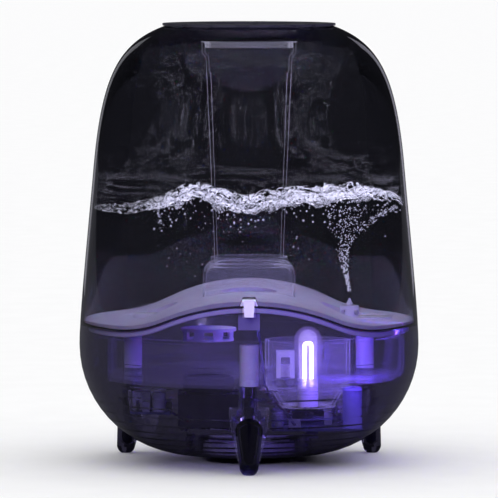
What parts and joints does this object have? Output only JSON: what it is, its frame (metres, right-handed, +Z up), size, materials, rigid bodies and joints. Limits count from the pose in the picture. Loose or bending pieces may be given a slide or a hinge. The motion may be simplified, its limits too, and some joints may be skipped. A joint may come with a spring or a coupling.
{
  "type": "cool mist humidifier",
  "caption": "Round clear-shell cool mist humidifier on small leaning feet: lift-off water tank with lid and mist tube over a base with tray, lamp, fan and mist maker.",
  "frame": {"origin": "on the floor, below the vertical axis of the round body, level with the flat tips of the feet", "axes": "+Z up; the front with the power key faces -Y; +X is to the right seen from the front"},
  "size_m": [0.226, 0.226, 0.2914],
  "materials": {
    "clear_base": "clear polished smoke",
    "clear_tank": "clear polished dark smoke",
    "pale_plastic": "satin translucent lavender",
    "tray_plastic": "satin translucent violet",
    "clear_lilac": "clear lilac",
    "lamp_glass": "clear glass",
    "lamp_glow": "glowing tube",
    "white_plastic": "gloss white",
    "dark_plastic": "matt near black",
    "smoke_foot": "clear dark smoke",
    "black_rubber": "soft matt",
    "steel_screw": "bright zinc",
    "circuit_board": "solder mask",
    "board_parts": "mixed small parts",
    "capacitor_sleeve": "shrink sleeve",
    "ceramic_disc": "metallised ceramic",
    "copper_winding": "enamelled copper",
    "magnet_metal": "sintered, nickel plated",
    "filter_foam": "open foam",
    "frosted_plastic": "frosted smoke"
  },
  "bodies": {
    "base": {"base_shell": "clear_base", "base_rim": "pale_plastic", "water_tray": "tray_plastic", "post_front": "pale_plastic", "post_left": "pale_plastic", "post_right": "pale_plastic", "post_screws": "steel_screw", "mist_chamber": "clear_lilac", "transducer_seal": "black_rubber", "transducer_disc": "ceramic_disc", "transducer_holder": "dark_plastic", "lamp_glass": "lamp_glass", "lamp_tube": "lamp_glow", "lamp_holder": "white_plastic", "float_cage": "white_plastic", "level_sensor": "circuit_board", "air_duct": "dark_plastic", "duct_hood": "pale_plastic", "fan_frame": "dark_plastic", "fan_stator": "copper_winding", "fan_screws": "steel_screw", "driver_board": "circuit_board", "driver_parts": "board_parts", "driver_capacitor": "capacitor_sleeve", "power_board": "circuit_board", "power_parts": "board_parts", "board_screws": "steel_screw", "wire_harness": "black_rubber", "filter_housing": "clear_lilac", "inlet_filter": "filter_foam", "inlet_grille": "dark_plastic", "housing_screws": "steel_screw", "foot_front": "smoke_foot", "foot_left": "smoke_foot", "foot_right": "smoke_foot", "foot_cores": "black_rubber", "cord_gland": "black_rubber", "key_board": "circuit_board"},
    "tank": {"tank_shell": "clear_tank", "tank_floor": "pale_plastic", "tank_seal": "black_rubber", "mist_tube": "clear_lilac", "tube_socket": "clear_lilac", "valve_cup": "white_plastic", "valve_spring": "steel_screw", "magnet_cover": "white_plastic", "tank_magnet": "magnet_metal"},
    "valve": {"valve_plunger": "white_plastic", "valve_washer": "black_rubber"},
    "lid": {"top_lid": "frosted_plastic", "lid_funnel": "clear_lilac", "lid_latch": "frosted_plastic"},
    "nozzle": {"mist_nozzle": "frosted_plastic"},
    "float": {"float_body": "white_plastic", "float_magnet": "magnet_metal"},
    "fan_wheel": {"fan_rotor": "dark_plastic"},
    "power_key": {"power_button": "white_plastic"}
  },
  "joints": [
    {"name": "tank_lift", "type": "slide", "parent": "base", "child": "tank", "axis": [0, 0, 1], "range_m": [0, 0.08]},
    {"name": "valve_open", "type": "slide", "parent": "tank", "child": "valve", "axis": [0, 0, 1], "range_m": [0, 0.0015], "stiffness_N_per_m": 150, "springref_m": -0.002, "deforming": ["valve_spring"]},
    {"name": "lid_lift", "type": "slide", "parent": "tank", "child": "lid", "axis": [0, 0, 1], "range_m": [0, 0.06]},
    {"name": "nozzle_turn", "type": "hinge", "parent": "lid", "child": "nozzle", "pos_m": [0, 0, 0.285], "axis": [0, 0, 1], "continuous": true},
    {"name": "float_rise", "type": "slide", "parent": "base", "child": "float", "axis": [0, 0, 1], "range_m": [0, 0.007]},
    {"name": "fan_spin", "type": "hinge", "parent": "base", "child": "fan_wheel", "pos_m": [-0.027, 0, 0.034], "axis": [0, 0, 1], "continuous": true},
    {"name": "key_press", "type": "slide", "parent": "base", "child": "power_key", "axis": [0, 1, 0], "range_m": [0, 0.0006], "stiffness_N_per_m": 400, "springref_m": -0.0005}
  ]
}
